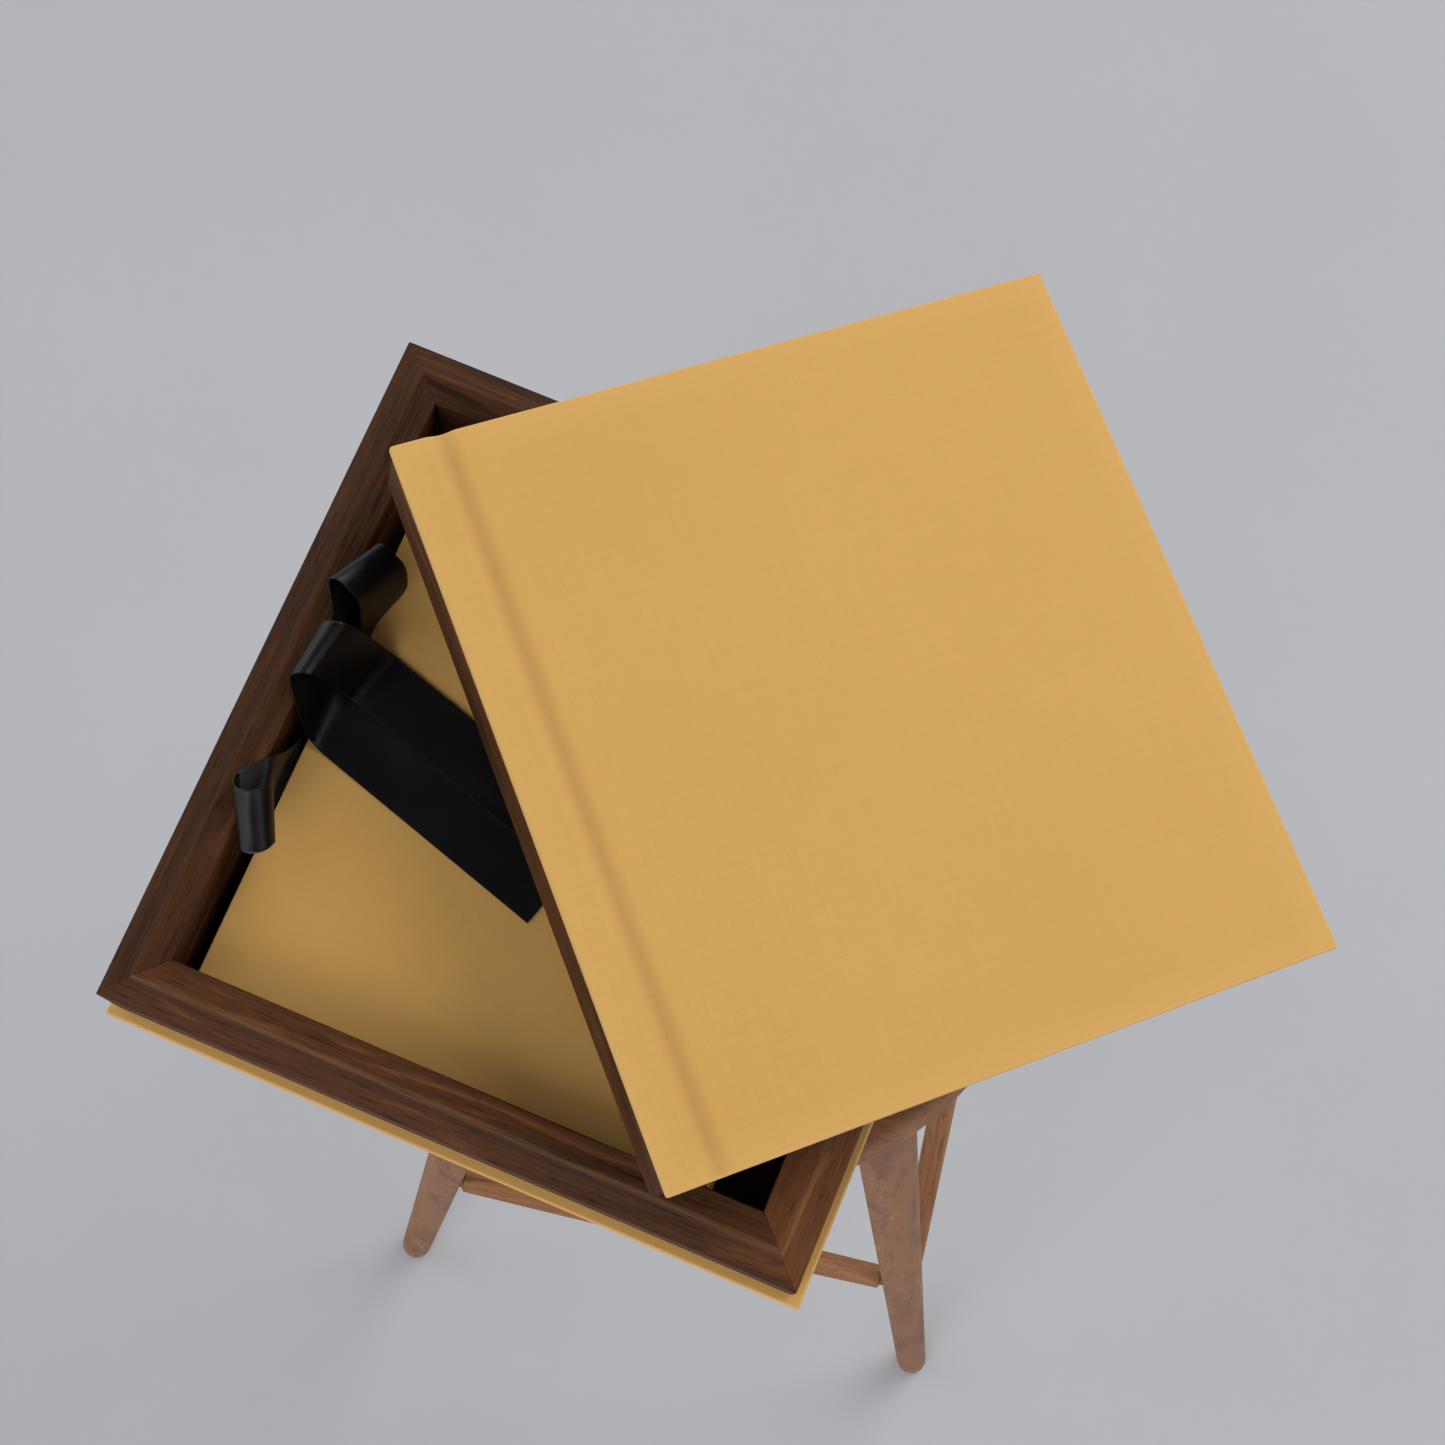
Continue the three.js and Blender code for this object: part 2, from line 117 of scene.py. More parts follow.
def light_scene():
    """A bright horizon that fades to a dark zenith, and three large soft lamps."""
    world = bpy.data.worlds.new("studio")
    bpy.context.scene.world = world
    world.use_nodes = True
    tree = world.node_tree
    coords = tree.nodes.new("ShaderNodeTexCoord")
    split = tree.nodes.new("ShaderNodeSeparateXYZ")
    fade = tree.nodes.new("ShaderNodeValToRGB")
    fade.color_ramp.elements[0].position = 0.55
    fade.color_ramp.elements[0].color = HORIZON_COLOR
    fade.color_ramp.elements[1].position = 0.93
    fade.color_ramp.elements[1].color = ZENITH_COLOR
    tree.links.new(coords.outputs["Generated"], split.inputs[0])
    tree.links.new(split.outputs["Z"], fade.inputs["Fac"])
    tree.links.new(fade.outputs["Color"], tree.nodes["Background"].inputs["Color"])
    add_softbox("key", (1.0, 2.0, 2.7), 2.3, 48.0, (1.0, 0.985, 0.965))
    add_softbox("left", (-2.4, -0.2, 2.0), 2.2, 8.0, (0.98, 0.985, 1.0))
    add_softbox("front", (-0.3, -2.4, 2.3), 2.2, 25.0, (0.98, 0.985, 1.0))
    bpy.context.scene.view_settings.view_transform = "Standard"


# --- Node helpers -----------------------------------------------------------------------------


class Shader:
    """A Principled material with short ways to add and wire the texture nodes it needs."""

    def __init__(self, name):
        self.material = bpy.data.materials.new(name)
        self.material.use_nodes = True
        self.tree = self.material.node_tree
        self.surface = self.tree.nodes["Principled BSDF"]
        self.coords = self.tree.nodes.new("ShaderNodeTexCoord")

    def set(self, **values):
        for key, value in values.items():
            self.surface.inputs[key.replace("_", " ")].default_value = value

    def add(self, kind, inputs=None, **settings):
        node = self.tree.nodes.new(kind)
        for key, value in settings.items():
            setattr(node, key, value)
        for key, value in (inputs or {}).items():
            if isinstance(value, bpy.types.NodeSocket):
                self.tree.links.new(value, node.inputs[key])
            else:
                node.inputs[key].default_value = value
        return node

    def scaled(self, scale, offset=(0, 0, 0), source="Object"):
        return self.add("ShaderNodeMapping", {
            "Vector": self.coords.outputs[source], "Scale": scale,
            "Location": offset}).outputs["Vector"]

    def noise(self, vector, scale, detail, rough, distort=0.0):
        return self.add("ShaderNodeTexNoise", {
            "Vector": vector, "Scale": scale, "Detail": detail, "Roughness": rough,
            "Distortion": distort}).outputs["Fac"]

    def wave(self, vector, scale, direction, distort, detail, detail_scale):
        return self.add("ShaderNodeTexWave", {
            "Vector": vector, "Scale": scale, "Distortion": distort, "Detail": detail,
            "Detail Scale": detail_scale}, bands_direction=direction).outputs["Fac"]

    def ramp(self, fac, stops):
        node = self.add("ShaderNodeValToRGB", {"Fac": fac})
        elements = node.color_ramp.elements
        while len(elements) < len(stops):
            elements.new(0.5)
        for element, (place, color) in zip(elements, stops):
            element.position = place
            element.color = (*color, 1.0)
        return node.outputs["Color"]

    def grey(self, fac, low, high, dark=0.0, light=1.0):
        return self.add("ShaderNodeMapRange", {
            "Value": fac, "From Min": low, "From Max": high,
            "To Min": dark, "To Max": light}).outputs["Result"]

    def mix(self, fac, a, b):
        """Two colours, as (r, g, b) or sockets, mixed by fac."""
        node = self.tree.nodes.new("ShaderNodeMix")
        node.data_type = "RGBA"
        for index, value in ((0, fac), (6, a), (7, b)):
            if isinstance(value, bpy.types.NodeSocket):
                self.tree.links.new(value, node.inputs[index])
            elif index == 0:
                node.inputs[index].default_value = value
            else:
                node.inputs[index].default_value = (*value, 1.0)
        return node.outputs[2]

    def math(self, operation, a, b):
        node = self.add("ShaderNodeMath", operation=operation)
        for index, value in enumerate((a, b)):
            if isinstance(value, bpy.types.NodeSocket):
                self.tree.links.new(value, node.inputs[index])
            else:
                node.inputs[index].default_value = value
        return node.outputs[0]

    def attribute(self, name):
        return self.add("ShaderNodeAttribute", attribute_name=name).outputs["Fac"]

    def bump(self, height, distance, strength, after=None):
        inputs = {"Height": height, "Distance": distance, "Strength": strength}
        if after is not None:
            inputs["Normal"] = after
        return self.add("ShaderNodeBump", inputs).outputs["Normal"]

    def wire(self, output, socket):
        self.tree.links.new(output, self.surface.inputs[socket])


# --- Materials --------------------------------------------------------------------------------

WAVE_PITCH = 0.314      # spacing of a wave texture's bands at scale 1
WARP_SPACING = 0.00062
WEFT_SPACING = 0.00058
RIB_SPACING = 0.0005


def tinted(color, *shares):
    """The colour with each channel scaled by its own share, or all by one."""
    shares = shares * 3 if len(shares) == 1 else shares
    return [channel * share for channel, share in zip(color, shares)]


def book_cloth(name, color, seed):
    """Linen-faced book cloth: two thread directions, slubs, mottling, pin pricks, rubbed edges
    lightened further by a painted highlight, and painted shade in the lid's hinge groove.
    """
    s = Shader(name)
    where = s.scaled((1, 1, 1), offset=(seed, seed * 0.7, 0))
    along = s.wave(where, WAVE_PITCH / WARP_SPACING, "X", 2.2, 2.0, 0.9)
    across = s.wave(where, WAVE_PITCH / WEFT_SPACING, "Y", 2.2, 2.0, 0.9)
    weave = s.math("MAXIMUM", along, across)
    slub_x = s.noise(s.scaled((34, 1500, 900), offset=(seed, 0, 0)), 1.0, 3.0, 0.6)
    slub_y = s.noise(s.scaled((1500, 34, 900), offset=(0, seed, 0)), 1.0, 3.0, 0.6)
    slubs = s.math("ADD", slub_x, slub_y)
    mottle = s.noise(s.scaled((9, 9, 9), offset=(seed, 0, seed)), 1.0, 5.0, 0.55)
    stain = s.noise(s.scaled((2.4, 2.4, 2.4), offset=(0, seed, 0)), 1.0, 2.0, 0.5)
    tone = s.mix(s.grey(slubs, 0.72, 1.28), tinted(color, 0.95), tinted(color, 1.035))
    tone = s.mix(s.grey(mottle, 0.3, 0.7, 0.0, 0.3), tone, tinted(color, 0.88, 0.85, 0.8))
    tone = s.mix(s.grey(stain, 0.35, 0.65, 0.0, 0.22), tone, tinted(color, 1.06, 1.05, 1.06))
    tone = s.mix(s.grey(weave, 0.0, 0.45, 0.13, 0.0), tone, tinted(color, 0.55))
    prick = s.add("ShaderNodeTexVoronoi", {"Vector": where, "Scale": 14.0})
    pricked = s.grey(prick.outputs["Distance"], 0.005, 0.009, 0.75, 0.0)
    tone = s.mix(pricked, tone, tinted(color, 0.2))
    # Painted shade in the lid's hinge groove, darkest at its bottom.
    tone = s.mix(s.math("MULTIPLY", s.attribute("groove"), 0.42), tone, tinted(color, 0.62))
    # Rubbed edges, lightened also as a painted highlight along them.
    rub_and_highlight = s.math("MULTIPLY", s.attribute("wear_and_highlight"), s.grey(mottle, 0.35, 0.6, 0.4, 1.0))
    tone = s.mix(rub_and_highlight, tone, tinted(color, 1.2, 1.24, 1.5))
    s.wire(tone, "Base Color")
    s.wire(s.grey(slubs, 0.7, 1.3, 0.72, 0.88), "Roughness")
    s.set(Specular_IOR_Level=0.28, Sheen_Weight=0.12, Sheen_Roughness=0.45)
    first = s.bump(weave, 0.00010, 0.55)
    second = s.bump(slubs, 0.00008, 0.3, first)
    s.wire(s.bump(mottle, 0.0006, 0.25, second), "Normal")
    return s.material


def streaked_wood(name, dark, mid, light, seed, worn_and_highlight=(0.2, 0.12, 0.07), rough=(0.42, 0.6)):
    """Wood with its grain along local X: wandering figure, fibres, open pores, and rubbed crests,
    which on the box's rails carry a painted highlight as well.
    """
    s = Shader(name)
    figure_at = s.scaled((9, 80, 80), offset=(seed * 3.1, seed * 1.7, seed))
    bands = s.noise(figure_at, 1.0, 5.0, 0.62, 1.1)
    rings = s.noise(s.scaled((5.0, 40, 40), offset=(seed, seed * 2.3, seed)), 1.0, 3.0, 0.5, 0.8)
    fibres = s.noise(s.scaled((26, 900, 900), offset=(seed, 0, 0)), 1.0, 4.0, 0.65)
    pores = s.noise(s.scaled((70, 1700, 1700), offset=(0, seed, 0)), 1.0, 2.0, 0.5)
    tone = s.ramp(bands, [(0.34, dark), (0.45, mid), (0.55, mid), (0.72, light)])
    tone = s.mix(s.grey(rings, 0.50, 0.66, 0.0, 0.6), tone, dark)
    tone = s.mix(s.grey(fibres, 0.35, 0.8, 0.0, 0.35), tone, light)
    pore = s.grey(pores, 0.60, 0.70, 0.0, 0.75)
    tone = s.mix(pore, tone, tinted(dark, 0.3))
    # Rubbed wear, and on the rails' crests a painted highlight too.
    rub_and_highlight = s.math("MULTIPLY", s.attribute("wear_and_highlight"), s.grey(fibres, 0.32, 0.6, 0.3, 1.0))
    tone = s.mix(rub_and_highlight, tone, worn_and_highlight)
    s.wire(tone, "Base Color")
    s.wire(s.grey(bands, 0.3, 0.7, *rough), "Roughness")
    s.set(Specular_IOR_Level=0.09)
    first = s.bump(fibres, 0.00012, 0.5)
    s.wire(s.bump(s.math("SUBTRACT", 1.0, pore), 0.00018, 0.6, first), "Normal")
    return s.material


def walnut(name, seed, tone):
    # tone brightens and darkens the whole colour, as painted light and shade for one rail.
    return streaked_wood(
        name,
        tinted((0.0145, 0.0056, 0.0028), tone),
        tinted((0.056, 0.0200, 0.0075), tone),
        tinted((0.140, 0.054, 0.0165), tone),
        seed, worn_and_highlight=(0.21, 0.105, 0.045), rough=(0.5, 0.68))


def stool_wood(name, seed):
    return streaked_wood(
        name, (0.155, 0.060, 0.026), (0.29, 0.130, 0.060), (0.42, 0.215, 0.110),
        seed, worn_and_highlight=(0.38, 0.21, 0.13), rough=(0.42, 0.56))


def plain_hardwood(name, seed):
    return streaked_wood(name, (0.22, 0.13, 0.07), (0.38, 0.25, 0.14), (0.5, 0.35, 0.22), seed)


def satin(name):
    """Black double-faced satin: fine cross ribs and a slightly paler woven selvedge."""
    s = Shader(name)
    uv = s.scaled((1, 1, 1), source="UV")
    ribs = s.wave(uv, WAVE_PITCH / RIB_SPACING, "Y", 1.0, 2.0, 1.0)
    threads = s.noise(s.scaled((2600, 60, 1), source="UV"), 1.0, 3.0, 0.6)
    crease = s.noise(s.scaled((30, 22, 1), source="UV"), 1.0, 3.0, 0.5)
    tone = s.mix(s.grey(threads, 0.3, 0.75), (0.0011, 0.0011, 0.0015), (0.0030, 0.0030, 0.0040))
    edge = s.attribute("selvedge")
    woven = s.math("MULTIPLY", edge, s.grey(ribs, 0.0, 1.0, 0.6, 1.0))
    tone = s.mix(woven, tone, (0.008, 0.008, 0.010))
    s.wire(tone, "Base Color")
    s.wire(s.grey(crease, 0.3, 0.7, 0.27, 0.37), "Roughness")
    s.set(Specular_IOR_Level=0.4, Anisotropic=0.5, Sheen_Weight=0.02, Sheen_Roughness=0.35)
    first = s.bump(ribs, 0.00003, 0.35)
    second = s.bump(edge, 0.00025, 0.6, first)
    s.wire(s.bump(crease, 0.0008, 0.25, second), "Normal")
    return s.material


def dark_felt(name):
    """Short-napped lining cloth."""
    s = Shader(name)
    nap = s.noise(s.scaled((1400, 1400, 1400)), 1.0, 4.0, 0.7)
    patch = s.noise(s.scaled((16, 16, 16)), 1.0, 3.0, 0.5)
    tone = s.mix(s.grey(nap, 0.3, 0.7), (0.085, 0.038, 0.023), (0.175, 0.082, 0.050))
    s.wire(s.mix(s.grey(patch, 0.3, 0.7, 0.0, 0.4), tone, (0.095, 0.044, 0.027)), "Base Color")
    s.set(Roughness=0.95, Sheen_Weight=0.3, Specular_IOR_Level=0.2)
    s.wire(s.bump(nap, 0.0003, 0.8), "Normal")
    return s.material


def page_paper(name, leaf_gap_shade):
    """Heavy album paper: fibres and flecks, with painted shade lines between leaves where edges
    show.
    """
    s = Shader(name)
    fibre = s.noise(s.scaled((500, 500, 500)), 1.0, 5.0, 0.7)
    cloud = s.noise(s.scaled((18, 18, 18)), 1.0, 3.0, 0.5)
    tone = s.mix(s.grey(fibre, 0.3, 0.7), (0.72, 0.67, 0.58), (0.84, 0.80, 0.72))
    tone = s.mix(s.grey(cloud, 0.3, 0.7, 0.0, 0.3), tone, (0.74, 0.68, 0.56))
    if leaf_gap_shade:
        # Painted shade in the gaps between leaves, as fine dark lines across the edges.
        lines = s.noise(s.scaled((0.5, 0.5, 5200)), 1.0, 2.0, 0.5)
        tone = s.mix(s.grey(lines, 0.55, 0.7, 0.0, 0.45), tone, (0.42, 0.36, 0.28))
    s.wire(tone, "Base Color")
    s.set(Roughness=0.85, Specular_IOR_Level=0.25)
    s.wire(s.bump(fibre, 0.00012, 0.5), "Normal")
    return s.material


def studio_floor(name):
    """Painted floor with faint cloudy patches."""
    s = Shader(name)
    cloud = s.noise(s.scaled((2.2, 2.2, 2.2)), 1.0, 3.0, 0.5)
    grain = s.noise(s.scaled((60, 60, 60)), 1.0, 4.0, 0.6)
    tone = s.mix(s.grey(cloud, 0.3, 0.7), (0.500, 0.502, 0.520), (0.525, 0.527, 0.545))
    s.wire(s.mix(s.grey(grain, 0.3, 0.7, 0.0, 0.12), tone, (0.46, 0.465, 0.48)), "Base Color")
    s.set(Roughness=0.9, Specular_IOR_Level=0.2)
    return s.material


# --- Mesh helpers -----------------------------------------------------------------------------


def make_piece(name, points, faces, material, attributes=None, place=None, sharp=35.0):
    """A smooth-shaded mesh object from points and faces, edges over the sharp angle kept crisp."""
    mesh = bpy.data.meshes.new(name)
    mesh.from_pydata([tuple(p) for p in points], [], [tuple(f) for f in faces])
    mesh.validate()
    for key, values in (attributes or {}).items():
        layer = mesh.attributes.new(key, "FLOAT", "POINT")
        layer.data.foreach_set("value", np.asarray(values, dtype=np.float32))
    mesh.shade_smooth()
    mesh.set_sharp_from_angle(angle=math.radians(sharp))
    mesh.materials.append(material)
    piece = bpy.data.objects.new(name, mesh)
    bpy.context.scene.collection.objects.link(piece)
    if place is not None:
        piece.matrix_world = place
    return piece


def finish_piece(piece, body, nodes):
    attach(piece, body)
    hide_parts(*nodes)


def edge_steps(half, radius, cells, extra=()):
    """Grid lines from -half to half: several on each rounded edge, even ones between, extras."""
    curve = [half - radius * (1 - math.sin(a * math.pi / 8)) for a in range(5)]
    inner = [(-1 + 2 * i / cells) * (half - radius) for i in range(1, cells)]
    lines = set(round(v, 7) for v in [*curve, *[-c for c in curve], *inner, *extra])
    return sorted(lines)


def soft_box(half, radius, cells, extra_x=(), shape=None):
    """A box with rounded edges as (points, faces, edge mask), its surface grid denser at the edges.
    The edge mask marks wear, and on cloth also a painted highlight.
    shape, where given, moves each finished point."""
    lines = [edge_steps(half[0], radius, cells[0], extra_x),
             edge_steps(half[1], radius, cells[1]),
             edge_steps(half[2], radius, cells[2])]
    index = {}
    points = []
    wear_and_highlight = []
    faces = []

    def vertex(raw):
        key = tuple(round(v, 7) for v in raw)
        if key not in index:
            core = [max(-(h - radius), min(h - radius, v)) for h, v in zip(half, raw)]
            away = Vector(raw) - Vector(core)
            done = Vector(core) + away.normalized() * radius if away.length > 1e-9 else Vector(raw)
            near = sorted(h - abs(v) for h, v in zip(half, done))
            index[key] = len(points)
            # Edge mask: wear, and on cloth a painted highlight too.
            wear_and_highlight.append(max(0.0, 1.0 - near[1] / (1.3 * radius)))
            points.append(shape(done) if shape else done)
        return index[key]

    for axis in range(3):
        u, v = (axis + 1) % 3, (axis + 2) % 3
        for side in (-1, 1):
            for i in range(len(lines[u]) - 1):
                for j in range(len(lines[v]) - 1):
                    corner = []
                    for a, b in ((i, j), (i + 1, j), (i + 1, j + 1), (i, j + 1)):
                        raw = [0.0, 0.0, 0.0]
                        raw[axis] = side * half[axis]
                        raw[u] = lines[u][a]
                        raw[v] = lines[v][b]
                        corner.append(vertex(raw))
                    if len(set(corner)) > 2:
                        faces.append(corner if side > 0 else corner[::-1])
    return points, faces, wear_and_highlight


def tube_faces(rows, size):
    """Faces that join rings of size points one after another and close both ends."""
    faces = []
    for row in range(rows - 1):
        for k in range(size):
            a, b = row * size + k, row * size + (k + 1) % size
            faces.append((a, b, b + size, a + size))
    faces.append(tuple(range(size))[::-1])
    last = (rows - 1) * size
    faces.append(tuple(last + k for k in range(size)))
    return faces


def lathe(profile, segments):
    """Points and faces of a profile of (radius, height) turned about Z and closed at both ends."""
    points = []
    for radius, height in profile:
        for k in range(segments):
            a = 2 * math.pi * k / segments
            points.append(Vector((radius * math.cos(a), radius * math.sin(a), height)))
    return points, tube_faces(len(profile), segments)


def arc(centre, radius, start, end, steps):
    """Points on a circle's arc, angles in degrees."""
    out = []
    for i in range(steps + 1):
        a = math.radians(start + (end - start) * i / steps)
        out.append((centre[0] + radius * math.cos(a), centre[1] + radius * math.sin(a)))
    return out


# --- Mitred rails -----------------------------------------------------------------------------

RAIL_STEPS = 28             # spans along a rail
OUTLINE_STEP = 0.0022       # the longest side left in a rail's outline
RAIL_WIDTH = 26 * MM
RAIL_EASE = 1.0 * MM
BEVEL_WIDTH = 13 * MM
BEVEL_DROP = 8 * MM
MITRE_GAP = 0.00006
MITRE_V = 0.00016           # how far the outline shrinks at the mitre, and over what length
MITRE_END = 0.0005
RUB_AND_HIGHLIGHT_REACH = 0.0011          # how wide and how deep a crest's wear and painted highlight reach
RUB_AND_HIGHLIGHT_DEPTH = 0.0045


def rail_mesh(profile, crest, half_length, rubbing_and_highlight):
    """A rail along X whose outer face is y = 0. profile is the end outline of (inward, height)
    points, crest the inward distances that are worn and get a painted highlight, and the last
    argument how strong both are. The ends are mitred, with a hairline V at the joint."""
    centre = (sum(p[0] for p in profile) / len(profile), sum(p[1] for p in profile) / len(profile))
    top = max(p[1] for p in profile)
    stations = [(-1, 0.0, MITRE_V), (-1, MITRE_END, 0.0)]
    stations += [(0, -1 + 2 * i / RAIL_STEPS, 0.0) for i in range(1, RAIL_STEPS)]
    stations += [(1, MITRE_END, 0.0), (1, 0.0, MITRE_V)]
    points = []
    wear_and_highlight = []
    for end, along, shrink in stations:
        for inward, height in profile:
            reach = half_length - inward - MITRE_GAP
            pull = Vector((centre[0] - inward, centre[1] - height)).normalized() * shrink
            x = end * (reach - along) if end else along * (reach - MITRE_END)
            points.append(Vector((x, inward + pull.x, height + pull.y)))
            # Wear with a painted highlight along each crest, only near the top.
            rub_and_highlight = max(math.exp(-((inward - c) / RUB_AND_HIGHLIGHT_REACH) ** 2) for c in crest)
            wear_and_highlight.append(rub_and_highlight * (rubbing_and_highlight if height > top - RUB_AND_HIGHLIGHT_DEPTH else 0.0))
    return points, tube_faces(len(stations), len(profile)), wear_and_highlight


def refine_outline(outline):
    """The same closed outline with points no further apart than OUTLINE_STEP."""
    out = []
    for (x0, y0), (x1, y1) in zip(outline, outline[1:] + outline[:1]):
        count = max(1, math.ceil(math.hypot(x1 - x0, y1 - y0) / OUTLINE_STEP))
        out += [(x0 + (x1 - x0) * i / count, y0 + (y1 - y0) * i / count) for i in range(count)]
    return out


def tray_outline(height):
    """Flat inner band, a crest, and an outer band that falls to the outer face."""
    e = RAIL_EASE
    outline = [(e, 0.0), (RAIL_WIDTH, 0.0)]
    outline += arc((RAIL_WIDTH - e, height - e), e, 0, 90, 4)
    slope = math.degrees(math.atan2(BEVEL_DROP, BEVEL_WIDTH))
    outline += arc((BEVEL_WIDTH + 0.2 * MM, height - 1.4 * MM), 1.4 * MM, 90, 90 + slope, 4)
    low = height - BEVEL_DROP
    outline += arc((1.1 * MM, low - 0.9 * MM), 1.1 * MM, 90 + slope, 180, 4)
    outline += [(0.0, e)]
    return refine_outline(outline)


def lid_outline(depth):
    """A plain rail with eased lower edges; its top sits under the board."""
    e = RAIL_EASE
    outline = [(0.0, depth)]
    outline += arc((e, e), e, 180, 270, 4)
    outline += arc((RAIL_WIDTH - e, e), e, 270, 360, 4)
    outline += [(RAIL_WIDTH, depth)]
    return refine_outline(outline)


def build_frame(prefix, outline, crest, half_x, half_y, place, body, painted_light_tones, rubs_and_highlights):
    """Four mitred rails. The two tuples give, in SIDES' order, each rail's brightness, which paints
    the light and shade on its side, and the strength of its crest's wear and painted highlight.
    """
    for index, side in enumerate(SIDES):
        half_length, offset = (half_y, half_x) if index % 2 else (half_x, half_y)
        points, faces, wear_and_highlight = rail_mesh(outline, crest, half_length, rubs_and_highlights[index])
        turned = (place @ Matrix.Rotation(index * QUARTER_TURN, 4, "Z")
                  @ Matrix.Translation((0, -offset, 0)))
        # Each rail gets its own copy of the walnut, brightened or darkened as painted light and
        # shade.
        material = walnut(f"walnut_{prefix}_{side}", 3.7 * index + len(prefix) * 5.3, painted_light_tones[index])
        node = f"{prefix}_rail_{side}"
        rail = make_piece(f"{node}_wood", points, faces, material, {"wear_and_highlight": wear_and_highlight}, turned)
        finish_piece(rail, body, [node])


# --- Stool ------------------------------------------------------------------------------------

SEAT_TOP_ROUND = 9 * MM
SEAT_LOW_ROUND = 5 * MM
HUB = 4 * MM                # radius of the small disc that closes a turned face
FOOT_SPREAD = 190 * MM      # from the stool's middle to a leg's, along each side, at the floor
TOP_SPREAD = 91.5 * MM      # the same under the seat
FOOT_WIDTH = 21 * MM
TOP_WIDTH = 31 * MM
LEG_GAP = 0.3 * MM
LEG_TENON = 10 * MM
LEG_TENON_REACH = 17 * MM
# A foot's rounding, as (height, how much less than the taper's radius).
FOOT_ROUND = ((0.0, 2.2 * MM), (0.8 * MM, 1.2 * MM), (2.5 * MM, 0.4 * MM), (6 * MM, 0.0))
BAR_MIDDLE = 8.2 * MM
BAR_END = 7.2 * MM
BAR_TENON = 5 * MM


def stool_place():
    centre = middle_of("stool_seat")
    return Matrix.Translation((centre.x, centre.y, 0)) @ Matrix.Rotation(STOOL_TURN, 4, "Z")


def build_seat():
    low, high = box_of("stool_seat")
    radius = (high.x - low.x) / 2
    upper, lower = SEAT_TOP_ROUND, SEAT_LOW_ROUND
    profile = [(HUB, low.z), (radius * 0.5, low.z)]
    profile += arc((radius - lower, low.z + lower), lower, -90, 0, 6)
    profile += arc((radius - upper, high.z - upper), upper, 0, 90, 8)
    profile += [(radius * 0.94 - 6 * MM, high.z), (radius * 0.5, high.z), (HUB, high.z)]
    points, faces = lathe(profile, 112)
    worn_height = high.z - 3 * MM
    wear_and_highlight = []
    for point in points:
        rim = 0.7 if point.xy.length > radius * 0.9 else 0.0
        wear_and_highlight.append(rim * max(0.0, 1.0 - abs(point.z - worn_height) / (6 * MM)))
    seat = make_piece("stool_seat_wood", points, faces, stool_wood("stool_seat_finish", 2.0),
                      {"wear_and_highlight": wear_and_highlight}, stool_place())
    finish_piece(seat, "stool", ["stool_seat"])


def leg_top():
    return box_of("stool_seat")[0].z - LEG_GAP


def leg_spread(height):
    return FOOT_SPREAD + (TOP_SPREAD - FOOT_SPREAD) * height / leg_top()


def leg_width(height):
    return FOOT_WIDTH + (TOP_WIDTH - FOOT_WIDTH) * height / leg_top()


def build_leg(corner, side_x, side_y, seed):
    """A turned, tapered, splayed leg, modelled along local X so that its grain runs down it."""
    top = leg_top()
    rings = []
    for height, ease in FOOT_ROUND:
        rings.append((leg_width(height) / 2 - ease, height, leg_spread(height)))
    low = FOOT_ROUND[-1][0]
    steps = 26
    segments = 40
    for i in range(1, steps + 1):
        height = low + (top - low) * i / steps
        rings.append((leg_width(height) / 2, height, leg_spread(height)))
    rings += [(LEG_TENON, top, TOP_SPREAD), (LEG_TENON, top + LEG_TENON_REACH, TOP_SPREAD)]
    tilt = Matrix.Rotation(QUARTER_TURN, 4, "Y")
    base = stool_place() @ Matrix.Translation((side_x * FOOT_SPREAD, side_y * FOOT_SPREAD, 0))
    local = tilt.inverted()
    points = []
    wear_and_highlight = []
    for ring_radius, height, spread in rings:
        inward = spread - FOOT_SPREAD
        for k in range(segments):
            a = 2 * math.pi * k / segments
            point = Vector((side_x * inward + ring_radius * math.cos(a),
                            side_y * inward + ring_radius * math.sin(a), height))
            points.append(local @ point)
            wear_and_highlight.append(max(0.0, 0.8 - height / 0.02))
    node = f"stool_leg_{corner}"
    leg = make_piece(f"{node}_wood", points, tube_faces(len(rings), segments),
                     stool_wood(f"{node}_finish", seed), {"wear_and_highlight": wear_and_highlight}, base @ tilt)
    finish_piece(leg, "stool", [node])


def build_stretcher(index, side):
    """A turned bar between two legs, a little fuller in the middle, with a tenon at each end."""
    node = f"stool_stretcher_{side}"
    height = middle_of(node).z
    spread = leg_spread(height)
    shoulder = spread - leg_width(height) / 2 - 1.5 * MM
    reach = spread + 1 * MM
    full, slim, tenon, ease = BAR_MIDDLE, BAR_END, BAR_TENON, 1 * MM
    half = [(slim, shoulder - ease), (slim - ease, shoulder), (tenon, shoulder),
            (tenon, reach - ease), (tenon * 0.85, reach)]
    steps = 24
    profile = [(size, -along) for size, along in reversed(half)]
    for i in range(1, steps):
        along = -shoulder + ease + 2 * (shoulder - ease) * i / steps
        profile.append((slim + (full - slim) * math.cos(along / shoulder * QUARTER_TURN), along))
    profile += half
    points, faces = lathe(profile, 32)
    lay = Matrix.Rotation(QUARTER_TURN, 4, "Y")
    points = [lay @ p for p in points]
    place = (stool_place() @ Matrix.Rotation(index * QUARTER_TURN, 4, "Z")
             @ Matrix.Translation((0, -spread, height)))
    bar = make_piece(f"{node}_wood", points, faces, stool_wood(f"{node}_finish", 21.0 + 4 * index),
                     {"wear_and_highlight": [0.0] * len(points)}, place)
    finish_piece(bar, "stool", [node])


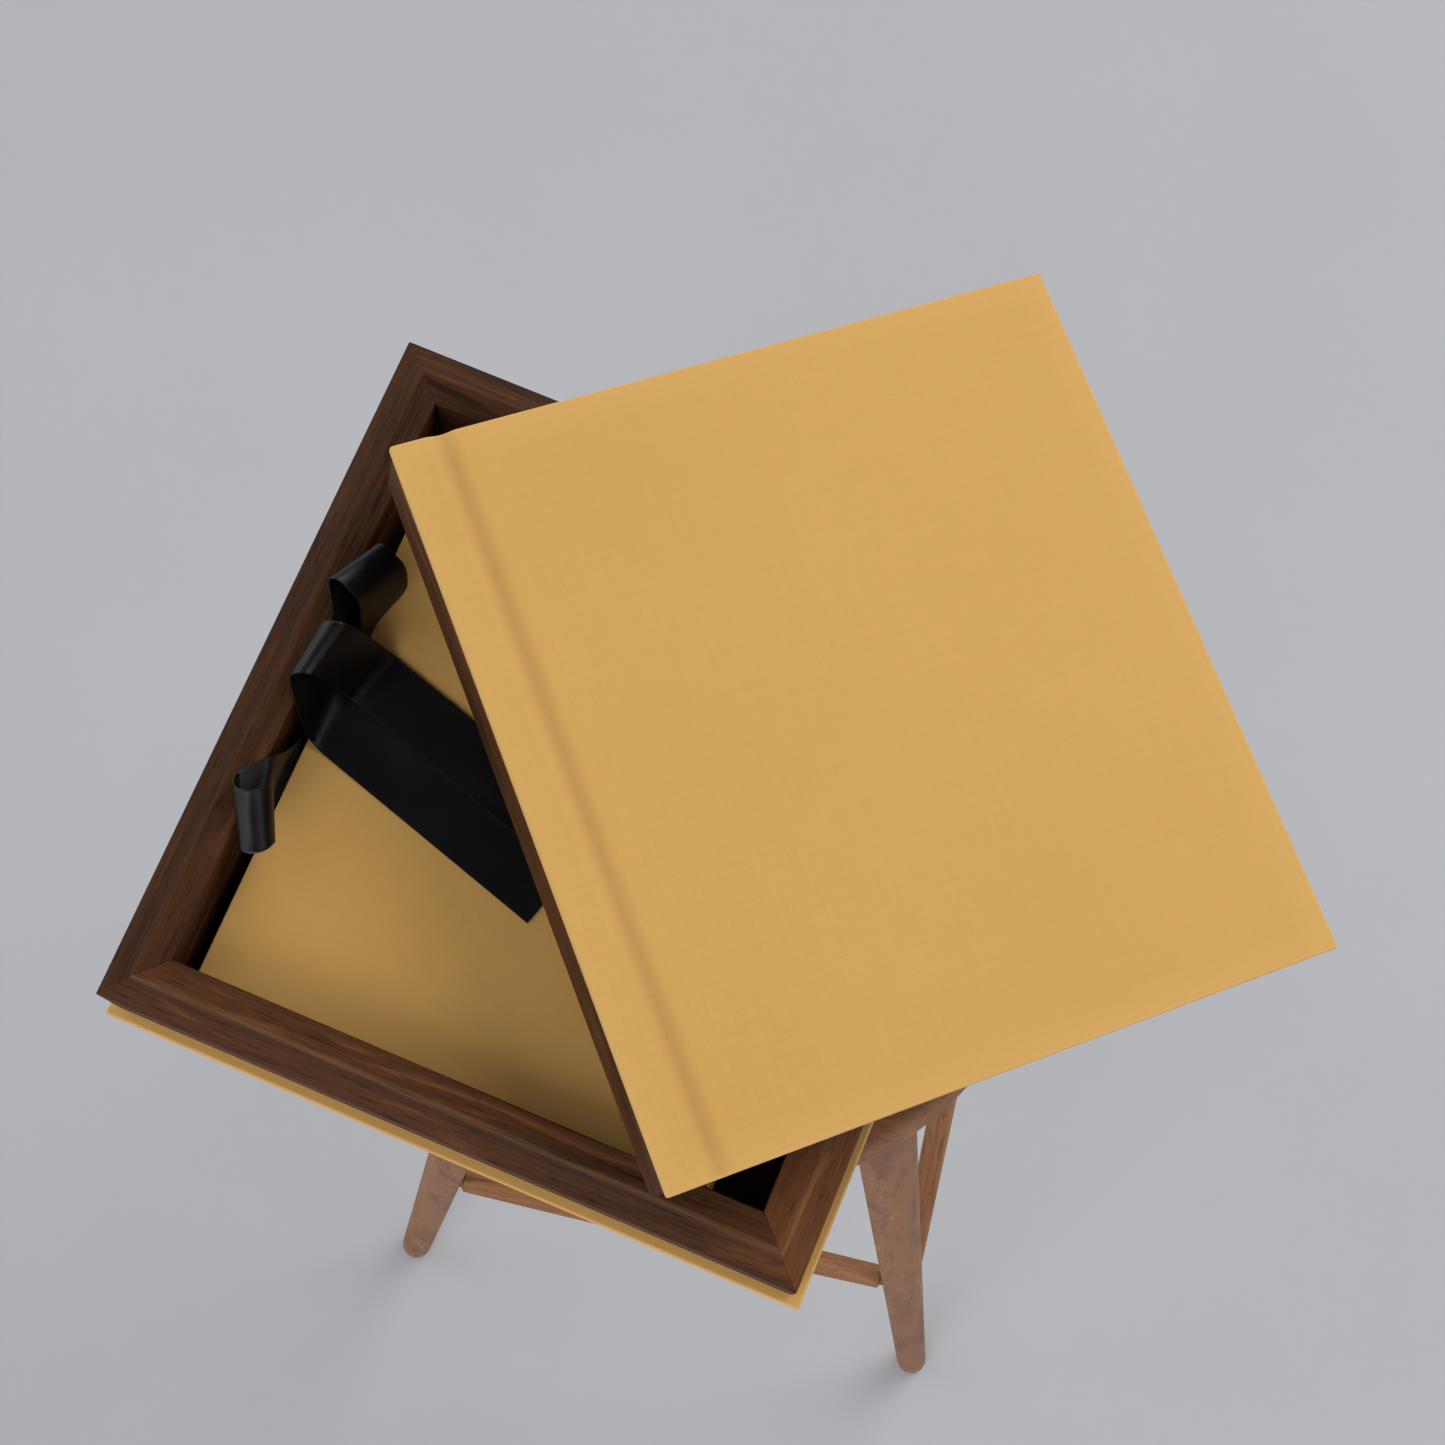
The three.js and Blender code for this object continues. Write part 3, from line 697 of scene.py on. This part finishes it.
def build_stool():
    build_seat()
    corners = (("front_left", -1, -1), ("front_right", 1, -1),
               ("back_right", 1, 1), ("back_left", -1, 1))
    for index, (corner, side_x, side_y) in enumerate(corners):
        build_leg(corner, side_x, side_y, 7.0 + 3.3 * index)
    for index, side in enumerate(SIDES):
        build_stretcher(index, side)


# --- Cloth boards -----------------------------------------------------------------------------

MUSTARD = (0.650, 0.365, 0.098)


def cloth_board(node, body, radius, seed, place=None, half=None, extra_x=(), shape=None,
                cells=(14, 14, 1)):
    """A board wrapped in book cloth, the size of its CAD node unless half is given."""
    low, high = box_of(node)
    half = half or (high - low) / 2
    points, faces, wear_and_highlight = soft_box(half, radius, cells, extra_x, shape)
    # Painted shade for the lid's hinge groove; none on boards without the pressed groove.
    groove = [groove_shade(p) if shape else 0.0 for p in points]
    place = place or Matrix.Translation((low + high) / 2)
    board = make_piece(f"{node}_cloth", points, faces, book_cloth(f"cloth_{node}", MUSTARD, seed),
                       {"wear_and_highlight": wear_and_highlight, "groove": groove}, place)
    finish_piece(board, body, [node])


LID_HALF = Vector((161 * MM, 171 * MM, 2.5 * MM))
GROOVE_X = -LID_HALF.x + 23.5 * MM
GROOVE_REACH = 8 * MM
GROOVE_DEPTH = 1.9 * MM
LID_RAIL_DEPTH = 27.7 * MM
LID_RAIL_HALF = (158.75 * MM, 167 * MM)
LID_FRAME_FROM_BOARD = Vector((-1.75 * MM, 0, -30.5 * MM))
TRAY_HALF = 165 * MM
BOARD_ROUND = 1.5 * MM
COVER_ROUND = 1.0 * MM


def lid_place():
    return (Matrix.Translation(middle_of("lid_board")) @ Matrix.Rotation(LID_TURN, 4, "Z")
            @ Matrix.Rotation(LID_TILT, 4, "Y"))


def groove_shade(point):
    """How much shade is painted on a point of the hinge groove. The painted shade fades sooner
    towards the lid's edge.
    """
    away = (point.x - GROOVE_X) / GROOVE_REACH
    if point.z < 0 or abs(away) > 1:
        return 0.0
    return 0.5 * (1 + math.cos(math.pi * away)) if away > 0 else (1 + away) ** 2


def press_groove(point):
    """Presses the hinge groove into the lid's upper face."""
    if point.z > 0:
        away = (point.x - GROOVE_X) / GROOVE_REACH
        if abs(away) < 1:
            point.z -= GROOVE_DEPTH * 0.5 * (1 + math.cos(math.pi * away))
    return point


def build_lid():
    lines = [GROOVE_X + GROOVE_REACH * i / 7 for i in range(-8, 9)]
    cloth_board("lid_board", "lid", BOARD_ROUND, 1.3, lid_place(), LID_HALF, lines, press_groove,
                (20, 24, 1))
    place = lid_place() @ Matrix.Translation(LID_FRAME_FROM_BOARD)
    outline = lid_outline(LID_RAIL_DEPTH)
    # Per rail: painted light and shade, then crest wear with a painted highlight.
    build_frame("lid", outline, (0.5 * MM, 25.5 * MM), *LID_RAIL_HALF, place, "lid",
                (1.0, 0.95, 1.0, 1.05), (0.1, 0.1, 0.1, 0.1))


def build_tray():
    cloth_board("tray_base_board", "tray", BOARD_ROUND, 4.1)
    low, high = box_of("tray_rail_front")
    place = Matrix.Translation((TRAY.x, TRAY.y, low.z))
    outline = tray_outline(high.z - low.z)
    # Per rail: painted light and shade, then crest wear with a painted highlight.
    build_frame("tray", outline, (BEVEL_WIDTH, 0.6 * MM), TRAY_HALF, TRAY_HALF, place, "tray",
                (1.2, 2.1, 0.95, 1.0), (0.6, 0.3, 0.12, 0.12))
    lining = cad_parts["tray_floor_lining"]
    lining.data.materials.clear()
    lining.data.materials.append(dark_felt("lining_felt"))


# --- Album ------------------------------------------------------------------------------------

JOINT_SINK = 0.7 * MM
LEAVES = 22
LEAF_FILL = 0.82            # the part of each leaf's step that paper fills
LEAF_STRAY = 0.5 * MM


def build_album():
    cloth_board("album_back_cover", "album", COVER_ROUND, 6.2)
    cloth_board("album_front_cover", "album_cover", COVER_ROUND, 9.4)
    cloth_board("album_spine", "album", COVER_ROUND, 12.9, cells=(2, 14, 8))
    for side in ("back", "front"):
        build_joint(side)
        build_endpaper(side)
    build_pages()


def build_joint(side):
    """The cloth strip between cover and spine, pressed down into the hinge."""
    node = f"album_{side}_joint"
    low, high = box_of(node)
    half = (high - low) / 2
    sign = -1 if side == "front" else 1

    def sink(point):
        across = min(1.0, abs(point.x) / half.x)
        point.z += sign * JOINT_SINK * (1 - across * across)
        return point

    lines = [half.x * i / 6 for i in range(-5, 6)]
    points, faces, wear_and_highlight = soft_box(half, 0.3 * MM, (2, 14, 1), lines, sink)
    strip = make_piece(f"{node}_cloth", points, faces, book_cloth(f"cloth_{node}", MUSTARD, 15.0),
                       {"wear_and_highlight": wear_and_highlight}, Matrix.Translation((low + high) / 2))
    finish_piece(strip, "album", [node])


def build_endpaper(side):
    node = f"album_{side}_endpaper"
    low, high = box_of(node)
    points, faces, wear_and_highlight = soft_box((high - low) / 2, 0.2 * MM, (8, 8, 1))
    sheet = make_piece(f"{node}_paper", points, faces, page_paper(f"paper_{side}", False),
                       {"wear_and_highlight": wear_and_highlight}, Matrix.Translation((low + high) / 2))
    finish_piece(sheet, "album_cover" if side == "front" else "album", [node])


def build_pages():
    """A block of separate heavy leaves, each a hair out of line with its neighbours."""
    low, high = box_of("album_page_block")
    step = (high.z - low.z) / LEAVES
    draw = random.Random(5)
    points, faces = [], []
    for leaf in range(LEAVES):
        inset_x, inset_low, inset_high = [draw.uniform(0.0, LEAF_STRAY) for _ in range(3)]
        left, right = low.x + inset_x, high.x
        near, far = low.y + inset_low, high.y - inset_high
        half = Vector(((right - left) / 2, (far - near) / 2, step * LEAF_FILL / 2))
        part_points, part_faces, _ = soft_box(half, 0.15 * MM, (3, 3, 1))
        centre = Vector(((left + right) / 2, (near + far) / 2, low.z + step * (leaf + 0.5)))
        start = len(points)
        points += [p + centre for p in part_points]
        faces += [[start + i for i in face] for face in part_faces]
    block = make_piece("album_pages", points, faces, page_paper("paper_leaves", True))
    finish_piece(block, "album", ["album_page_block"])


# --- Ribbon -----------------------------------------------------------------------------------

RIBBON_WIDTH = 0.028
RIBBON_THICK = 0.00035
RIBBON_STEP = 1.0           # the longest span along a ribbon, in mm
RIBBON_CELLS = 10           # spans across it
SOFTEN_WINDOW = 9


def soften(values):
    """A moving average that holds both ends."""
    reach = SOFTEN_WINDOW // 2
    padded = np.concatenate([np.full(reach, values[0]), values, np.full(reach, values[-1])])
    return np.convolve(padded, np.ones(SOFTEN_WINDOW) / SOFTEN_WINDOW, "valid")


def bend_strip(start, heading, stretches):
    """The two edges of a strip of even width, bent stretch by stretch as a hand bends a ribbon.
    start is (along, side, height, yaw, dip), and heading is the way it sets off, up from along.
    A stretch is (length, turn, side, yaw, dip): how far it runs, how much it turns on the way, and
    the sideways place and the yaw and dip of its width that it ends with. In mm and degrees."""
    along, side, height, yaw, dip = start
    way = math.radians(heading)
    run, line, marks = [0.0], [(along, height)], [(0.0, side, yaw, dip)]
    for length, turn, *end in stretches:
        count = math.ceil(length / RIBBON_STEP)
        for _ in range(count):
            way += math.radians(turn) / count / 2
            along += math.cos(way) * length / count
            height += math.sin(way) * length / count
            way += math.radians(turn) / count / 2
            run.append(run[-1] + length / count)
            line.append((along, height))
        marks.append((run[-1], *end))
    marks = np.array(marks)
    side, yaw, dip = [soften(np.interp(run, marks[:, 0], marks[:, k])) for k in (1, 2, 3)]
    yaw, dip = np.radians(yaw), np.radians(dip)
    centre = np.stack([np.array(line)[:, 0], side, np.array(line)[:, 1]], axis=1) * MM
    across = np.stack([-np.sin(yaw) * np.cos(dip), np.cos(yaw) * np.cos(dip), np.sin(dip)], axis=1)
    return centre - across * RIBBON_WIDTH / 2, centre + across * RIBBON_WIDTH / 2


def ribbon_strip(name, place, edges, nodes):
    """A thin woven strip ruled between two edge curves, its selvedges a little thicker."""
    near, far = edges
    cells = RIBBON_CELLS
    middle = (near + far) / 2
    run = np.concatenate([[0.0], np.cumsum(np.linalg.norm(np.diff(middle, axis=0), axis=1))])
    count = len(near)
    tangent = np.gradient(middle, axis=0)
    normal = np.cross(tangent, far - near)
    normal /= np.linalg.norm(normal, axis=1)[:, None]
    points, selvedge, uv = [], [], []
    for face_side in (0.5, -0.5):
        for i in range(count):
            for j in range(cells + 1):
                s = j / cells
                s = 0.5 - 0.5 * math.cos(math.pi * s) if j in (1, cells - 1) else s
                swell = 1.0 + 0.5 * (j in (0, cells))
                lift = normal[i] * face_side * RIBBON_THICK * swell
                points.append(near[i] + (far[i] - near[i]) * s + lift)
                selvedge.append(1.0 if j in (0, cells) else 0.0)
                uv.append((s * RIBBON_WIDTH, run[i]))
    width = cells + 1
    layer = count * width
    faces = []
    for i in range(count - 1):
        for j in range(cells):
            a = i * width + j
            faces.append((a, a + 1, a + width + 1, a + width))
            faces.append(tuple(layer + k for k in (a, a + width, a + width + 1, a + 1)))
    rim = [i * width for i in range(count)] + [(count - 1) * width + j for j in range(1, width)]
    rim += [i * width + cells for i in range(count - 2, -1, -1)]
    rim += list(range(cells - 1, 0, -1))
    for a, b in zip(rim, rim[1:] + rim[:1]):
        faces.append((a, b, layer + b, layer + a))
    strip = make_piece(name, points, faces, satin(f"satin_{name}"),
                       {"selvedge": selvedge}, place, 60.0)
    add_uv(strip, uv)
    finish_piece(strip, "album_cover", nodes)


def add_uv(piece, uv):
    layer = piece.data.uv_layers.new(name="UVMap")
    for loop in piece.data.loops:
        layer.data[loop.index].uv = uv[loop.vertex_index]


def tail_place():
    """The tails' own directions on the album: X along them, away from the loops."""
    return Matrix.Translation((TRAY.x, TRAY.y, ALBUM_TOP)) @ Matrix.Rotation(TAIL_TURN, 4, "Z")


# Where each strip below starts, and its stretches' sideways places, yaws and dips, are rounded from
# a scratch program's print-out of earlier rows, which followed places read off the photo. The
# lengths and turns were then changed by trial.


def build_main_ribbon():
    edges = bend_strip((24, -20.3, 1.2, 0, -1), 180, [
        (134, 0, -20.3, 0, -1),     # upper tail
        (8, -64, -20.5, 1, -1),     # foot
        (28, 3, -25.5, 7, -3),      # rise
        (16.5, 197, -36, 14, -2),   # crown
        (9, -4, -41, 16, -5),       # fall, clear of the rail
        (13, -13, -46.5, 17, -7),
        (12, 57, -47.5, 8, 0),      # landing
        (12, 4, -47.5, 0, 0),
        (114, 0, -47.5, 0, 0),      # lower tail
    ])
    nodes = ["ribbon_upper_tail", "ribbon_main_loop", "ribbon_lower_tail"]
    ribbon_strip("ribbon_main", tail_place(), edges, nodes)


def build_upper_curl():
    edges = bend_strip((-126, -17, 1.3, 20, 0), 160, [
        (4, -60, -7, 4, -3),        # out from under the main loop
        (5, 0, 5, -5, -9),
        (7, 8, 9, -7, -14),
        (8, 10, 12.5, -7, -16),
        (15, 52, 13, -7, -16),
        (7, 139, 9, -6, -17),       # crown
        (23, 0, -5, -4, -20),
    ])
    ribbon_strip("ribbon_upper_curl", tail_place(), edges, ["ribbon_upper_loop"])


def build_side_curl():
    """A band up out of the gap beside the album, then a roll that rests on the rail's edge."""
    roll_middle = Vector((TRAY.x - 139 * MM, TRAY.y - 62 * MM, ALBUM_TOP + 20 * MM))
    place = (Matrix.Translation(roll_middle) @ Matrix.Rotation(math.radians(-156), 4, "Z")
             @ Matrix.Rotation(math.radians(-18), 4, "X"))
    edges = bend_strip((-18, -18, -38, -18, -57), 65, [
        (8, 4, -12, -20, -41),
        (12, 8, -7, -17, -21),
        (11, 0, -5, -10, -8),
        (6, -48, -3, -3, 2),        # over the rail's edge
        (9, 0, 0.5, 2, 5),
        (4, 56, 4, 2, 2),           # round the roll
        (7, 50, 8, 3, -1),
        (7, 50, 9, 2, -2),
        (6, 45, 7.5, 0, 0),
        (7, 35, 4, 1, 3),
    ])
    ribbon_strip("ribbon_side_curl", place, edges, ["ribbon_small_curl"])


def build_ribbon():
    build_main_ribbon()
    build_upper_curl()
    build_side_curl()


# --- Hidden joinery, floor --------------------------------------------------------------------


def finish_splines():
    for index, (node, piece) in enumerate(sorted(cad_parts.items())):
        if "mitre_spline" in node:
            piece.data.materials.clear()
            piece.data.materials.append(plain_hardwood(f"finish_{node}", 1.9 * index))


FLOOR_HALF = 8.0


def add_floor():
    half = FLOOR_HALF
    points = [(-half, -half, 0), (half, -half, 0), (half, half, 0), (-half, half, 0)]
    floor = make_piece("floor", points, [(0, 1, 2, 3)], studio_floor("floor_paint"))


make_camera()
light_scene()
add_floor()
build_stool()
build_tray()
build_album()
build_ribbon()
build_lid()
finish_splines()
